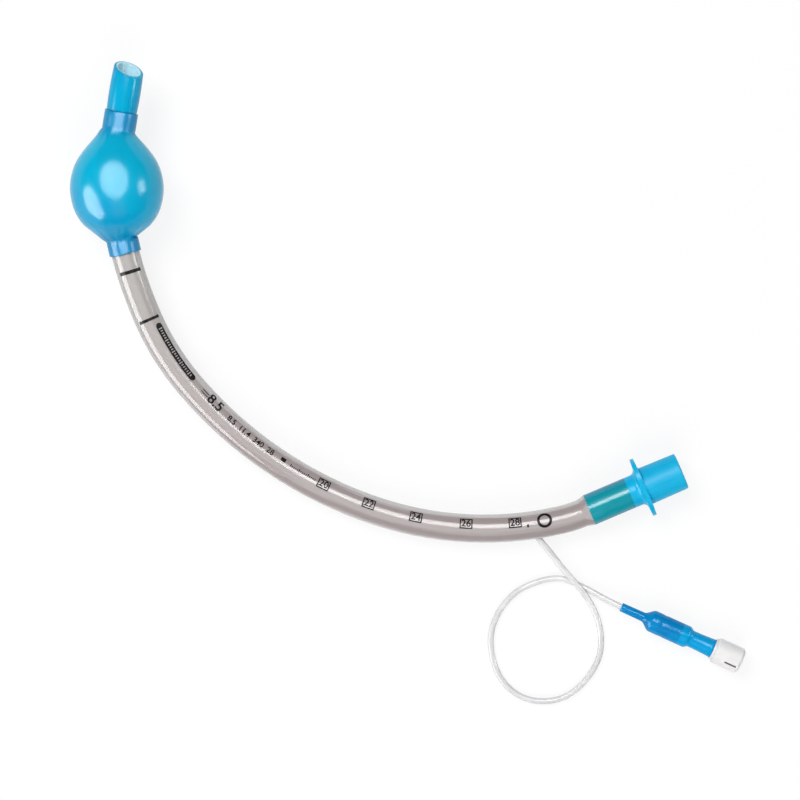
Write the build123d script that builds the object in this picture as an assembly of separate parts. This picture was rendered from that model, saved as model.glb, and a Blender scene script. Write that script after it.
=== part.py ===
from build123d import *
import math
import os

os.makedirs("parts", exist_ok=True)

# Driving sizes of the breathing tube, in millimetres and degrees
lumen = 8.5
tube_outer = 11.4

# Centreline from the bevelled tip to the machine end, as lengths and turns
first_heading = -100.2
tip_run = 24.0
cuff_run, cuff_turn = 58.4, 26.0
neck_run, neck_turn = 22.5, 7.4
throat_run, throat_turn = 30.5, 16.3
long_run, long_turn = 94.0, 32.3
upper_run, upper_turn = 74.8, 31.4
last_run, last_turn = 9.0, 10.2

# Soft tip
tip_rim = 11.5
tip_bulge = 12.6
tip_bulge_middle = 12.0
tip_neck = 12.1
tip_shoulder = 20.0
bevel_drop = 5.8
bevel_turn = 28.0
eye_long = 8.0
eye_wide = 6.0
eye_middle = 14.0
edge_round = 0.45

# Cuff
cuff_distal_wall = 1.0
cuff_distal_collar = 7.4
cuff_length = 43.9
cuff_proximal_collar = 5.7
cuff_proximal_wall = 0.75
cuff_diameter = 37.4
cuff_wall = 0.35
cuff_heading = -90.2
cuff_shift = 0.4
port_radius = 0.3

# Inflation lumen in the wall
channel_radius = 0.4
channel_start = 40.0
port_middle = 45.0
notch_middle = 294.0

# Connector, a standard 15 mm male cone with a winged flange
cone_end = 15.07
cone_taper = 40.0
cone_length = 15.8
cone_edge = 0.8
cone_bore = 12.2
cone_bore_depth = 13.5
funnel_length = 5.0
flange_width = 24.7
flange_depth = 17.2
flange_root = 2.1
flange_edge = 1.5
root_outer = 12.9
root_length = 4.8
root_fillet = 2.0
spigot_outer = 10.5
spigot_bore = 8.3
spigot_length = 17.7
spigot_chamfer = 0.6
flare_lead = 3.0

# Inflation line, seen whole in one loop
line_diameter = 2.45
line_core_gap = 0.35
line_grip = 6.5
line_core_reach = 15.0
line_start_depth = 1.6

# Pilot balloon and its valve, measured along their own axis from the neck's end
pilot_heading = -24.4
pilot_neck_outer = 3.6
pilot_neck_flare = 3.8
pilot_neck_length = 9.5
pilot_cone_length = 4.4
pilot_outer = 9.0
pilot_body_length = 15.0
pilot_shoulder_length = 2.1
pilot_rear_outer = 6.9
pilot_rear_flare = 7.7
pilot_rear_length = 9.6
pilot_wall = 0.6
barrel_outer = 5.5
barrel_bore = 4.0
barrel_inside = 3.1
barrel_floor = 1.2
barrel_air_hole = 1.2
rim_outer = 9.0
rim_thickness = 1.0
cap_outer = 10.6
cap_length = 11.6
cap_edge = 0.5
cap_end_edge = 1.0
cap_spigot_length = 3.1
guide_bore = 2.0
luer_mouth = 4.27
luer_taper = 0.06
luer_depth = 6.8
slot_length = 5.3
slot_width = 0.9
slot_depth = 0.8
slot_middle = 7.6
slot_angle = 33.0
stem_clearance = 0.05
stem_peep = 0.3
flute_radius = 0.38
seal_outer = 3.2
seal_thickness = 1.2
seal_pin = 1.2
foot_thickness = 0.8
spring_coil = 2.8
spring_wire = 0.36
spring_turns = 5

# Cutters run past the faces that they open by this much
overcut = 1.0

bends = [
    (tip_run, 0.0),
    (cuff_run, cuff_turn),
    (neck_run, neck_turn),
    (throat_run, throat_turn),
    (long_run, long_turn),
    (upper_run, upper_turn),
    (last_run, last_turn),
]
tube_radius = tube_outer / 2
lumen_radius = lumen / 2
straight_start = sum(length for length, turn in bends)
spigot_start = straight_start + flare_lead
tube_end = spigot_start + spigot_length
flange_start = tube_end + root_length
path_end = flange_start + flange_root + cone_length
bends.append((path_end - straight_start, 0.0))

# The wall keeps its section where the end of the tube is stretched over the spigot
flare_outer = math.sqrt(spigot_outer**2 + tube_outer**2 - lumen**2)
channel_offset = (tube_radius + lumen_radius) / 2
distal_radius = tube_radius + cuff_distal_wall
proximal_radius = tube_radius + cuff_proximal_wall
cuff_start = tip_shoulder + cuff_distal_collar
cuff_end = cuff_start + cuff_length


# Place and heading on the centreline at a distance from the tip
def station(distance):
    x, y, angle = 0.0, 0.0, first_heading
    done = 0.0
    for length, turn in bends:
        part = min(max(distance - done, 0.0), length)
        heading = math.radians(angle)
        if turn == 0:
            x += part * math.cos(heading)
            y += part * math.sin(heading)
        else:
            radius = length / math.radians(turn)
            after = heading + part / radius
            x += radius * (math.sin(after) - math.sin(heading))
            y -= radius * (math.cos(after) - math.cos(heading))
        angle += turn * part / length
        done += length
    return x, y, angle


# Section plane at a distance from the tip: X is up, Y is the outer side of the bend
def section_plane(distance):
    x, y, angle = station(distance)
    heading = math.radians(angle)
    return Plane(origin=(x, y, 0), x_dir=(0, 0, 1), z_dir=(math.cos(heading), math.sin(heading), 0))


# Stretch of the centreline, as lines and arcs
def stretch(first, last):
    edges = []
    done = 0.0
    for length, turn in bends:
        low = max(first, done)
        high = min(last, done + length)
        if high - low > 0.001:
            x, y, angle = station(low)
            heading = math.radians(angle)
            if turn == 0:
                end_x, end_y, _ = station(high)
                edges.append(Line((x, y), (end_x, end_y)))
            else:
                direction = (math.cos(heading), math.sin(heading))
                radius = length / math.radians(turn)
                edges.append(JernArc((x, y), direction, radius, turn * (high - low) / length))
        done += length
    return Wire(edges)


# Round bar along the centreline, moved to the outer side by an offset
def bar_along(radius, first, last, offset=0.0):
    disc = section_plane(first) * Pos(0, offset) * Circle(radius)
    return sweep(disc, path=stretch(first, last))


# Solid of revolution about Z from an outline of radius and height
def turned(outline):
    return revolve(Plane.XZ * make_face(Polyline(outline, close=True)), axis=Axis.Z)


def make_tube():
    collar_nose = (tube_radius + lumen_radius) / 2
    tube = bar_along(tube_radius, tip_run, straight_start)
    tube += bar_along(collar_nose, tip_shoulder, tip_run)
    tube += section_plane(straight_start) * turned([
        (0, 0),
        (tube_radius, 0),
        (flare_outer / 2, flare_lead),
        (flare_outer / 2, flare_lead + spigot_length),
        (0, flare_lead + spigot_length),
    ])
    tube -= bar_along(lumen_radius, tip_shoulder, straight_start)
    tube -= section_plane(straight_start) * turned([
        (0, 0),
        (lumen_radius, 0),
        (spigot_outer / 2, flare_lead),
        (spigot_outer / 2, flare_lead + spigot_length),
        (0, flare_lead + spigot_length),
    ])
    tube -= bar_along(channel_radius, channel_start, notch_middle, channel_offset)
    reach = tube_radius - channel_offset + overcut
    port = Cylinder(port_radius, reach, align=(Align.CENTER, Align.CENTER, Align.MIN))
    tube -= section_plane(port_middle) * Pos(0, channel_offset) * Rot(-90, 0, 0) * port
    return tube


def make_soft_tip():
    nose = (tube_radius + lumen_radius) / 2
    profile = Plane.XZ * make_face([
        Line((lumen_radius, 0), (tip_rim / 2, 0)),
        Spline((tip_rim / 2, 0), (tip_bulge / 2, tip_bulge_middle), (tip_neck / 2, tip_shoulder)),
        Polyline((tip_neck / 2, tip_shoulder), (tube_radius, tip_shoulder), (tube_radius, tip_run),
                 (nose, tip_run), (nose, tip_shoulder), (lumen_radius, tip_shoulder),
                 (lumen_radius, 0)),
    ])
    tip = revolve(profile, axis=Axis.Z)
    # The bevel faces up and a little to the inner side, with the eye in the wall opposite
    slope = math.degrees(math.atan(bevel_drop / tip_rim))
    block = Box(3 * tip_bulge, 3 * tip_bulge, tip_bulge, align=(Align.CENTER, Align.CENTER, Align.MAX))
    tip -= Rot(0, 0, -bevel_turn) * Pos(-tip_rim / 2, 0, 0) * Rot(0, -slope, 0) * block
    rim = tip.faces().sort_by(Axis.Z)[0].edges()
    tip = fillet(rim, edge_round)
    eye = extrude(SlotOverall(eye_long, eye_wide, rotation=90), tip_bulge)
    tip -= Rot(0, 0, -bevel_turn) * Pos(0, 0, eye_middle) * Rot(0, -90, 0) * Rot(0, 0, 90) * eye
    return section_plane(0) * tip


# Rings of the cuff: share of its length, share of its height over the collars
cuff_rings = [
    (0.00, 0.00), (0.05, 0.11), (0.16, 0.46), (0.27, 0.75), (0.38, 0.92), (0.52, 1.00),
    (0.65, 0.95), (0.76, 0.82), (0.86, 0.58), (0.93, 0.28), (0.97, 0.10), (1.00, 0.00),
]


# The blown-up cuff stands straight, while its ends follow the bend of the tube
def cuff_ring(length_share, height_share, inset):
    x, y, angle = station(cuff_start + cuff_length * length_share)
    middle_x, middle_y, middle_angle = station(cuff_start + cuff_length / 2)
    inner_side = math.radians(middle_angle + 90)
    axis = math.radians(cuff_heading)
    along = (length_share - 0.5) * cuff_length
    straight_x = middle_x + cuff_shift * math.cos(inner_side) + along * math.cos(axis)
    straight_y = middle_y + cuff_shift * math.sin(inner_side) + along * math.sin(axis)
    weight = min(1.0, math.sqrt(4 * height_share))
    heading = math.radians(angle + weight * (cuff_heading - angle))
    spot = (x + weight * (straight_x - x), y + weight * (straight_y - y), 0)
    base = distal_radius + length_share * (proximal_radius - distal_radius)
    radius = base + height_share * (cuff_diameter / 2 - base) - inset
    plane = Plane(origin=spot, x_dir=(0, 0, 1), z_dir=(math.cos(heading), math.sin(heading), 0))
    return plane, radius


def cuff_loft(shares, inset):
    rings = []
    for length_share, height_share in shares:
        plane, radius = cuff_ring(length_share, height_share, inset)
        rings.append(plane * Circle(radius))
    return loft(rings)


def make_cuff():
    cuff = cuff_loft(cuff_rings, 0.0)
    cuff += bar_along(distal_radius, tip_shoulder, cuff_start)
    cuff += bar_along(proximal_radius, cuff_end, cuff_end + cuff_proximal_collar)
    cuff -= cuff_loft(cuff_rings[1:-1], cuff_wall)
    cuff -= bar_along(tube_radius, tip_shoulder, cuff_end + cuff_proximal_collar)
    return cuff


def make_connector():
    base_radius = cone_end / 2 + cone_length / cone_taper / 2
    root_radius = root_outer / 2
    cone_start = root_length + flange_root
    end = cone_start + cone_length
    fillet_reach = root_radius + root_fillet
    body = revolve(Plane.XZ * make_face([
        Polyline((0, -spigot_length), (spigot_outer / 2 - spigot_chamfer, -spigot_length),
                 (spigot_outer / 2, -spigot_length + spigot_chamfer), (spigot_outer / 2, 0),
                 (root_radius, 0), (root_radius, root_length - root_fillet)),
        RadiusArc((root_radius, root_length - root_fillet), (fillet_reach, root_length), root_fillet),
        Polyline((fillet_reach, root_length), (fillet_reach, cone_start), (base_radius, cone_start),
                 (cone_end / 2, end - cone_edge)),
        RadiusArc((cone_end / 2, end - cone_edge), (cone_end / 2 - cone_edge, end), -cone_edge),
        Polyline((cone_end / 2 - cone_edge, end), (0, end), (0, -spigot_length)),
    ]), axis=Axis.Z)
    flange = extrude(Pos(0, 0, root_length) * SlotOverall(flange_width, flange_depth, rotation=90), flange_root)
    thinning = (flange_root - flange_edge) / 2
    flange &= turned([
        (0, root_length),
        (base_radius, root_length),
        (flange_width / 2, root_length + thinning),
        (flange_width / 2, cone_start - thinning),
        (base_radius, cone_start),
        (0, cone_start),
    ])
    body += flange
    body -= turned([
        (0, -spigot_length - overcut),
        (spigot_bore / 2, -spigot_length - overcut),
        (spigot_bore / 2, end - cone_bore_depth - funnel_length),
        (cone_bore / 2, end - cone_bore_depth),
        (cone_bore / 2, end + overcut),
        (0, end + overcut),
    ])
    return section_plane(tube_end) * body


# Stations of the bend that are tried as it settles
settling_steps = 200


# Lowest point of a ring against an upward direction
def ring_low(centre, axis, radius, up):
    across = up - axis * up.dot(axis)
    return centre - across.normalized() * radius


# Points that can touch the table: the cuff's rings, the tube's bend and the flange's rim
def touching_points(up):
    cuff_points = []
    for length_share, height_share in cuff_rings:
        plane, radius = cuff_ring(length_share, height_share, 0.0)
        cuff_points.append(ring_low(plane.origin, plane.z_dir, radius, up))
    tube_points = []
    for step in range(settling_steps):
        plane = section_plane(cuff_end + (straight_start - cuff_end) * step / settling_steps)
        tube_points.append(ring_low(plane.origin, plane.z_dir, tube_radius, up))
    flange_points = []
    wing = (flange_width - flange_depth) / 2
    for face in (flange_start, flange_start + flange_root):
        plane = section_plane(face)
        centre = plane.origin - plane.y_dir * math.copysign(wing, up.dot(plane.y_dir))
        flange_points.append(ring_low(centre, plane.z_dir, flange_depth / 2, up))
    return [min(points, key=up.dot) for points in (cuff_points, tube_points, flange_points)]


# Upward direction of the table under the part, found by letting it settle on three points
def settle():
    up = Vector(0, 0, 1)
    for _ in range(30):
        cuff_low, tube_low, flange_low = touching_points(up)
        up = (tube_low - cuff_low).cross(flange_low - cuff_low).normalized()
        if up.Z < 0:
            up = up * -1
    return up


# Route of the inflation line: shift from the notch across the table, and height
line_route = [
    (4.7, -5.6, 5.9), (10.7, -13.4, 5.3), (16.2, -19.3, 4.6), (21.9, -27.1, 2.7),
    (25.6, -36.6, 1.3), (25.7, -47.8, 1.23), (20.0, -57.9, 1.23), (10.4, -65.8, 1.23),
    (-2.2, -66.8, 1.23), (-11.8, -62.0, 1.23), (-17.9, -52.8, 1.23), (-19.8, -40.7, 1.23),
    (-16.8, -30.7, 1.23), (-9.7, -22.0, 1.23), (-0.1, -17.5, 1.23), (9.0, -16.0, 1.23),
    (17.2, -19.2, 1.7),
]
pilot_shift = (33.6, -27.9)
pilot_lead = 5.0


# Solid line along straight runs joined by tangent arcs, with each arc's radius printed
def make_line(points):
    radii = []
    for before, corner, after in zip(points, points[1:], points[2:]):
        arriving = corner - before
        leaving = after - corner
        half_turn = math.radians(arriving.get_angle(leaving)) / 2
        radii.append(0.45 * min(arriving.length, leaving.length) / math.tan(half_turn))
    print("line radii", [round(radius, 1) for radius in radii])
    path = FilletPolyline(*points, radius=radii)
    start = Plane(origin=points[0], z_dir=points[1] - points[0])
    line = sweep(start * Circle(line_diameter / 2), path=path)
    section = math.pi * line_diameter**2 / 4
    print("line length", round(path.length, 2), "volume share", round(line.volume / section / path.length, 4))
    return line


# Heights along the pilot's own axis
cone_foot = pilot_neck_length
body_start = cone_foot + pilot_cone_length
body_end = body_start + pilot_body_length
rear_start = body_end + pilot_shoulder_length
rear_end = rear_start + pilot_rear_length
barrel_start = body_end - barrel_inside
cap_start = rear_end + rim_thickness
cap_end = cap_start + cap_length
luer_floor = cap_end - luer_depth
seat = cap_start - cap_spigot_length
foot_start = seat - seal_thickness - foot_thickness
spring_floor = barrel_start + barrel_floor


def make_pilot_balloon():
    bore = line_diameter / 2
    outside = revolve(Plane.XZ * make_face([
        Polyline((0, 0), (pilot_neck_outer / 2, 0), (pilot_neck_flare / 2, cone_foot)),
        Spline((pilot_neck_flare / 2, cone_foot), (pilot_outer / 2, body_start),
               tangents=[(0.5, 1), (0, 1)]),
        Line((pilot_outer / 2, body_start), (pilot_outer / 2, body_end)),
        Spline((pilot_outer / 2, body_end), (pilot_rear_outer / 2, rear_start),
               tangents=[(0, 1), (0, 1)]),
        Polyline((pilot_rear_outer / 2, rear_start), (pilot_rear_flare / 2, rear_end), (0, rear_end),
                 (0, 0)),
    ]), axis=Axis.Z)
    inner = pilot_outer / 2 - pilot_wall
    hollow = turned([
        (0, -overcut),
        (bore, -overcut),
        (bore, line_grip),
        (bore - pilot_wall, line_grip),
        (bore - pilot_wall, cone_foot + pilot_wall),
        (inner, body_start + pilot_wall),
        (inner, body_end - pilot_wall),
        (barrel_outer / 2, body_end),
        (barrel_outer / 2, rear_end + overcut),
        (0, rear_end + overcut),
    ])
    return outside - hollow


def make_valve_body():
    return turned([
        (barrel_air_hole / 2, barrel_start),
        (barrel_outer / 2, barrel_start),
        (barrel_outer / 2, rear_end),
        (rim_outer / 2, rear_end),
        (rim_outer / 2, cap_start),
        (barrel_bore / 2, cap_start),
        (barrel_bore / 2, spring_floor),
        (barrel_air_hole / 2, spring_floor),
    ])


def make_valve_cap():
    mouth = luer_mouth / 2
    floor_radius = mouth - luer_depth * luer_taper / 2
    cap = turned([
        (guide_bore / 2, seat),
        (barrel_bore / 2, seat),
        (barrel_bore / 2, cap_start),
        (cap_outer / 2 - cap_edge, cap_start),
        (cap_outer / 2, cap_start + cap_edge),
        (cap_outer / 2, cap_end - cap_end_edge),
        (cap_outer / 2 - cap_end_edge, cap_end),
        (mouth, cap_end),
        (floor_radius, luer_floor),
        (guide_bore / 2, luer_floor),
    ])
    slot = extrude(SlotOverall(slot_length, slot_width), slot_depth + overcut)
    for angle in (slot_angle, slot_angle + 180):
        place = Rot(0, 0, angle) * Pos(cap_outer / 2 - slot_depth, 0, cap_start + slot_middle)
        cap -= place * Rot(0, 90, 0) * slot
    return cap


def make_valve_plunger():
    stem = guide_bore / 2 - stem_clearance
    pin = seal_pin / 2
    plunger = turned([
        (0, foot_start),
        (seal_outer / 2, foot_start),
        (seal_outer / 2, foot_start + foot_thickness),
        (pin, foot_start + foot_thickness),
        (pin, seat),
        (stem, seat),
        (stem, luer_floor + stem_peep),
        (0, luer_floor + stem_peep),
    ])
    # Four flutes let air past the stem
    flute_height = luer_floor + stem_peep - seat
    for angle in (0, 90, 180, 270):
        flute = Cylinder(flute_radius, flute_height + overcut, align=(Align.CENTER, Align.CENTER, Align.MIN))
        plunger -= Rot(0, 0, angle) * Pos(stem, 0, seat) * flute
    return plunger


def make_valve_seal():
    low = seat - seal_thickness
    return turned([
        (seal_pin / 2, low),
        (seal_outer / 2, low),
        (seal_outer / 2, seat),
        (seal_pin / 2, seat),
    ])


def make_valve_spring():
    free = foot_start - spring_floor - spring_wire
    coil = Helix(free / spring_turns, free, spring_coil / 2)
    disc = Plane(origin=coil @ 0, z_dir=coil % 0) * Circle(spring_wire / 2)
    return Pos(0, 0, spring_floor + spring_wire / 2) * sweep(disc, path=coil, is_frenet=True)


def main():
    up = settle()
    x_dir = Vector(1, 0, 0) - up * up.X
    table = Plane(origin=(0, 0, 0), x_dir=x_dir, z_dir=up)
    laid = table.location.inverse()
    pieces = {
        "tube": laid * make_tube(),
        "soft_tip": laid * make_soft_tip(),
        "cuff": laid * make_cuff(),
        "connector": laid * make_connector(),
    }
    boxes = [piece.bounding_box() for piece in pieces.values()]
    low = [min(tuple(box.min)[axis] for box in boxes) for axis in range(3)]
    high = [max(tuple(box.max)[axis] for box in boxes) for axis in range(3)]
    shift = Pos(-(low[0] + high[0]) / 2, -(low[1] + high[1]) / 2, -low[2])
    for name in pieces:
        pieces[name] = shift * pieces[name]
    rest = shift * laid
    print("tilt", round(up.get_angle(Vector(0, 0, 1)), 2))
    for name, distance in (("tip", 0), ("cuff", (cuff_start + cuff_end) / 2), ("machine end", path_end)):
        plane = section_plane(distance)
        spot = rest * Pos(*plane.origin)
        ahead = rest * Pos(*(plane.origin + plane.z_dir))
        print(name, spot.position, "heading", ahead.position - spot.position)

    notch = section_plane(notch_middle)
    exit_point = (rest * Pos(*(notch.origin + notch.y_dir * tube_radius))).position
    first = Vector(*line_route[0][:2]) + Vector(exit_point.X, exit_point.Y)
    first = Vector(first.X, first.Y, line_route[0][2])
    start = exit_point - (first - exit_point).normalized() * line_start_depth
    points = [start]
    for across, along, height in line_route:
        points.append(Vector(exit_point.X + across, exit_point.Y + along, height))
    # The pilot balloon lies on its own round body and on the front edge of the cap
    heading = math.radians(pilot_heading)
    rise = math.atan((cap_outer - pilot_outer) / 2 / (cap_start + cap_edge - body_start))
    pilot_dir = Vector(math.cos(heading) * math.cos(rise), math.sin(heading) * math.cos(rise), math.sin(rise))
    neck_height = pilot_outer / 2 * math.cos(rise) - body_start * math.sin(rise)
    neck = Vector(exit_point.X + pilot_shift[0], exit_point.Y + pilot_shift[1], neck_height)
    points.append(neck - pilot_dir * pilot_lead)
    points.append(neck + pilot_dir * line_grip)
    print("line route", [tuple(round(value, 2) for value in point) for point in points])

    core = rest * bar_along(
        lumen_radius + line_core_gap, notch_middle - line_core_reach, notch_middle + line_core_reach)
    pieces["inflation_line"] = make_line(points) - core
    pieces["tube"] -= pieces["inflation_line"]
    pilot_up = Vector(0, 0, 1) - pilot_dir * pilot_dir.Z
    pilot = Plane(origin=neck, x_dir=pilot_up, z_dir=pilot_dir)
    pieces["pilot_balloon"] = pilot * make_pilot_balloon()
    pieces["valve_body"] = pilot * make_valve_body()
    pieces["valve_cap"] = pilot * make_valve_cap()
    pieces["valve_plunger"] = pilot * make_valve_plunger()
    pieces["valve_seal"] = pilot * make_valve_seal()
    pieces["valve_spring"] = pilot * make_valve_spring()
    print("pilot neck", neck, "direction", pilot_dir, "luer mouth", neck + pilot_dir * cap_end)
    for name, piece in pieces.items():
        solids = piece.solids()
        lowest = piece.bounding_box().min.Z
        print(name, len(solids), "solids", round(piece.volume, 1), "mm3, lowest", round(lowest, 3))
        export_step(piece, f"parts/{name}.step")


main()
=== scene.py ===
import bpy
import bmesh
import math
import random
from mathutils import Matrix, Vector


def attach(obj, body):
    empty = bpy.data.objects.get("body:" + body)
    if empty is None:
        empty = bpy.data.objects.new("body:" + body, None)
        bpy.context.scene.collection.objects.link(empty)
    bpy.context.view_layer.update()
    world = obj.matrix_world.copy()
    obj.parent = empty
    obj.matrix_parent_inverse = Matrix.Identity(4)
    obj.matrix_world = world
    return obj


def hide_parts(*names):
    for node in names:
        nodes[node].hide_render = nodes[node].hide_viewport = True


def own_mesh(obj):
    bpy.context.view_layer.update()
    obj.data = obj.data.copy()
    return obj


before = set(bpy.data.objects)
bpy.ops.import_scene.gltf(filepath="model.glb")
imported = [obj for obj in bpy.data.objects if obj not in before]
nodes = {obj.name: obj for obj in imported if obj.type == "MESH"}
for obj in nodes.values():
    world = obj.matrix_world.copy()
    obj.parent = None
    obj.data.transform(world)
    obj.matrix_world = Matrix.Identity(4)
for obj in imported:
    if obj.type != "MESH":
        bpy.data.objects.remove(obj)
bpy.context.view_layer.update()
scene = bpy.context.scene
scene.view_settings.view_transform = "Standard"
print("frame loaded", len(nodes), "nodes")

# Where the tube lies, as the model prints it: lengths in metres, turns in degrees
tubeLay = {
    "tip": (-0.0996209, 0.0957562, 0.0244391),
    "tipHeading": (-0.174998, -0.978012, -0.11344),
    "endHeading": (0.916765, 0.394653, 0.061568),
    "runs": [
        (0.0240, 0.0), (0.0584, 26.0), (0.0225, 7.4), (0.0305, 16.3),
        (0.0940, 32.3), (0.0748, 31.4), (0.0090, 10.2), (0.0434, 0.0),
    ],
    "radius": 0.0057,
    "spigotFrom": 0.3162,
    "end": 0.357,
}

# The pilot balloon's axis, from the end of its neck
pilotAxis = {"neck": (0.0975055, -0.122694, 0.00410402), "heading": (0.910317, -0.412938, 0.028357)}

viewSet = {"centre": (0.007835, -0.0388), "height": 1.1, "lens": 121.67, "sensor": 36.0,
           "nearest": 0.05, "farthest": 20}


def tubeStation(distance):
    # Place, heading, outer side and up at a distance from the tip
    ahead = Vector(tubeLay["tipHeading"]).normalized()
    up = ahead.cross(Vector(tubeLay["endHeading"])).normalized()
    place = Vector(tubeLay["tip"])
    done = 0.0
    for length, turn in tubeLay["runs"]:
        part = min(max(distance - done, 0.0), length)
        left = up.cross(ahead)
        if turn == 0:
            place = place + ahead * part
        else:
            radius = length / math.radians(turn)
            angle = part / radius
            place = place + ahead * radius * math.sin(angle) + left * radius * (1 - math.cos(angle))
            ahead = ahead * math.cos(angle) + left * math.sin(angle)
        done += length
        if distance <= done:
            break
    return place, ahead.normalized(), ahead.cross(up).normalized(), up


def onTube(distance, around, radius):
    place, _, side, up = tubeStation(distance)
    return place + (up * math.cos(around) + side * math.sin(around)) * radius


def placing(side, up, heading, centre):
    # Lays a flat ring's own plane across a heading
    return Matrix((
        (side.x, up.x, heading.x, centre.x), (side.y, up.y, heading.y, centre.y),
        (side.z, up.z, heading.z, centre.z), (0, 0, 0, 1),
    ))


def stationFrame(distance):
    place, ahead, side, up = tubeStation(distance)
    return placing(side, up, ahead, place)


def pilotFrame():
    neck, heading = Vector(pilotAxis["neck"]), Vector(pilotAxis["heading"]).normalized()
    return neck, heading, (Vector((0, 0, 1)) - heading * heading.z).normalized()


# Camera straight above, image up along +Y
camera = bpy.data.objects.new("camera", bpy.data.cameras.new("camera"))
scene.collection.objects.link(camera)
camera.location = (*viewSet["centre"], viewSet["height"])
camera.data.lens = viewSet["lens"]
camera.data.sensor_width = viewSet["sensor"]
camera.data.clip_start = viewSet["nearest"]
camera.data.clip_end = viewSet["farthest"]
scene.camera = camera


class Shade:
    def __init__(self, tree, socket=None):
        self.tree = tree
        self.socket = socket

    def make(self, kind, settings=None, values=None, out=0):
        made = self.tree.nodes.new("ShaderNode" + kind)
        for name, value in (settings or {}).items():
            if name == "stops":
                elements = made.color_ramp.elements
                while len(elements) < len(value):
                    elements.new(0.5)
                for element, (place, colour) in zip(elements, value):
                    element.position = place
                    element.color = (*colour, 1.0)
            else:
                setattr(made, name, value)
        for name, value in (values or {}).items():
            if isinstance(value, Shade):
                self.tree.links.new(value.socket, made.inputs[name])
            else:
                made.inputs[name].default_value = value
        return Shade(self.tree, made.outputs[out])

    def reckon(self, operation, first, second=0.0):
        return self.make("Math", {"operation": operation}, {0: first, 1: second})

    def __add__(self, other):
        return self.reckon("ADD", self, other)

    def __radd__(self, other):
        return self.reckon("ADD", other, self)

    def __sub__(self, other):
        return self.reckon("SUBTRACT", self, other)

    def __rsub__(self, other):
        return self.reckon("SUBTRACT", other, self)

    def __mul__(self, other):
        return self.reckon("MULTIPLY", self, other)

    def __rmul__(self, other):
        return self.reckon("MULTIPLY", other, self)

    def __pow__(self, other):
        return self.reckon("POWER", self, other)

    def __rpow__(self, other):
        return self.reckon("POWER", other, self)

    def __truediv__(self, other):
        return self.reckon("DIVIDE", self, other)

    def __rtruediv__(self, other):
        return self.reckon("DIVIDE", other, self)

    def lesser(self, other):
        return self.reckon("MINIMUM", self, other)

    def greater(self, other):
        return self.reckon("MAXIMUM", self, other)

    def absolute(self):
        return self.reckon("ABSOLUTE", self)

    def minusPlace(self, place):
        return self.make("VectorMath", {"operation": "SUBTRACT"}, {0: self, 1: tuple(place)})

    def along(self, direction):
        # How far this vector reaches in a direction
        return self.make("VectorMath", {"operation": "DOT_PRODUCT"}, {0: self, 1: tuple(direction)}, out=1)

    def span(self):
        # How long this vector is
        return self.make("VectorMath", {"operation": "LENGTH"}, {0: self}, out=1)

    def roundAxis(self, start, heading):
        # How far along an axis this place is, and how far out from it
        fromStart = self.minusPlace(start)
        deep, span = fromStart.along(heading), fromStart.span()
        return deep, (span * span - deep * deep).greater(0.0) ** 0.5

    def axisParts(self):
        parts = self.make("SeparateXYZ", {}, {0: self})
        return [Shade(self.tree, output) for output in parts.socket.node.outputs]

    def joined(self, first, second, third):
        return self.make("CombineXYZ", {}, {0: first, 1: second, 2: third})

    def ramp(self, stops):
        return self.make("ValToRGB", {"stops": stops}, {0: self})

    def noise(self, vector, scale, detail=2.0):
        return self.make("TexNoise", {}, {"Vector": vector, "Scale": scale, "Detail": detail})

    def smoothStep(self, low, high):
        return self.make("MapRange", {"interpolation_type": "SMOOTHSTEP"},
                         {"Value": self, "From Min": low, "From Max": high})

    def mixColour(self, first, second):
        made = self.make("Mix", {"data_type": "RGBA"}, {"Factor": self}, out=2)
        node = made.socket.node
        for index, value in ((6, first), (7, second)):  # the node's two colour inputs
            if isinstance(value, Shade):
                self.tree.links.new(value.socket, node.inputs[index])
            else:
                node.inputs[index].default_value = (*value, 1.0)
        return made

    def twoTone(self, first, second):
        # Soft patches of two near colours, from a noise
        return self.smoothStep(0.35, 0.65).mixColour(first, second)

    def bump(self, strength, distance):
        return self.make("Bump", {}, {"Height": self, "Strength": strength, "Distance": distance})


def newMaterial(name):
    # The material, its shader maths and the place on the piece
    material = bpy.data.materials.new(name)
    material.use_nodes = True
    material.node_tree.nodes.clear()
    shade = Shade(material.node_tree)
    return material, shade, shade.make("TexCoord", out=3)


def finishMaterial(shade, surface):
    output = shade.tree.nodes.new("ShaderNodeOutputMaterial")
    shade.tree.links.new(surface.socket, output.inputs["Surface"])


def principled(shade, values):
    return shade.make("BsdfPrincipled", {}, values)


def dress(piece, material):
    piece.data.materials.clear()
    piece.data.materials.append(material)
    for polygon in piece.data.polygons:
        polygon.material_index = 0


def finishPiece(name, bm, body, material, cadNodes=()):
    mesh = bpy.data.meshes.new(name)
    bm.to_mesh(mesh)
    bm.free()
    for polygon in mesh.polygons:
        polygon.use_smooth = True
    mesh.materials.append(material)
    piece = bpy.data.objects.new(name, mesh)
    scene.collection.objects.link(piece)
    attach(piece, body)
    if cadNodes:
        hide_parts(*cadNodes)
    return piece


def giveWall(piece, thickness):
    # Thickens a film inwards
    wall = piece.modifiers.new("wall", "SOLIDIFY")
    wall.thickness = thickness
    wall.offset = -1.0
    return piece


# The clear tube: warm grey, with a painted highlight along its top, painted shade bands beside it and paler
# painted sides where the wall is seen edge-on, and fine lines along it from the die that drew it
tubeLook = {
    "paintedTopHighlight": (0.50, 0.455, 0.45), "paintedShadeBand": (0.38, 0.33, 0.325), "edge": (0.62, 0.60, 0.595),
    "streakScale": 5.0, "streakAlong": 18.0, "streakDepth": 0.22, "cloudScale": 25.0, "cloudDepth": 0.1,
    "nearCuff": (0.52, 0.51, 0.49), "nearCuffFrom": 0.08, "nearCuffReach": 0.085, "nearCuffShare": 0.6,
    "roughness": 0.17, "roughnessSpread": 0.08, "transmission": 0.18, "ior": 1.46, "gloss": 0.36,
    "bump": (0.05, 0.0002),
}
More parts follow.
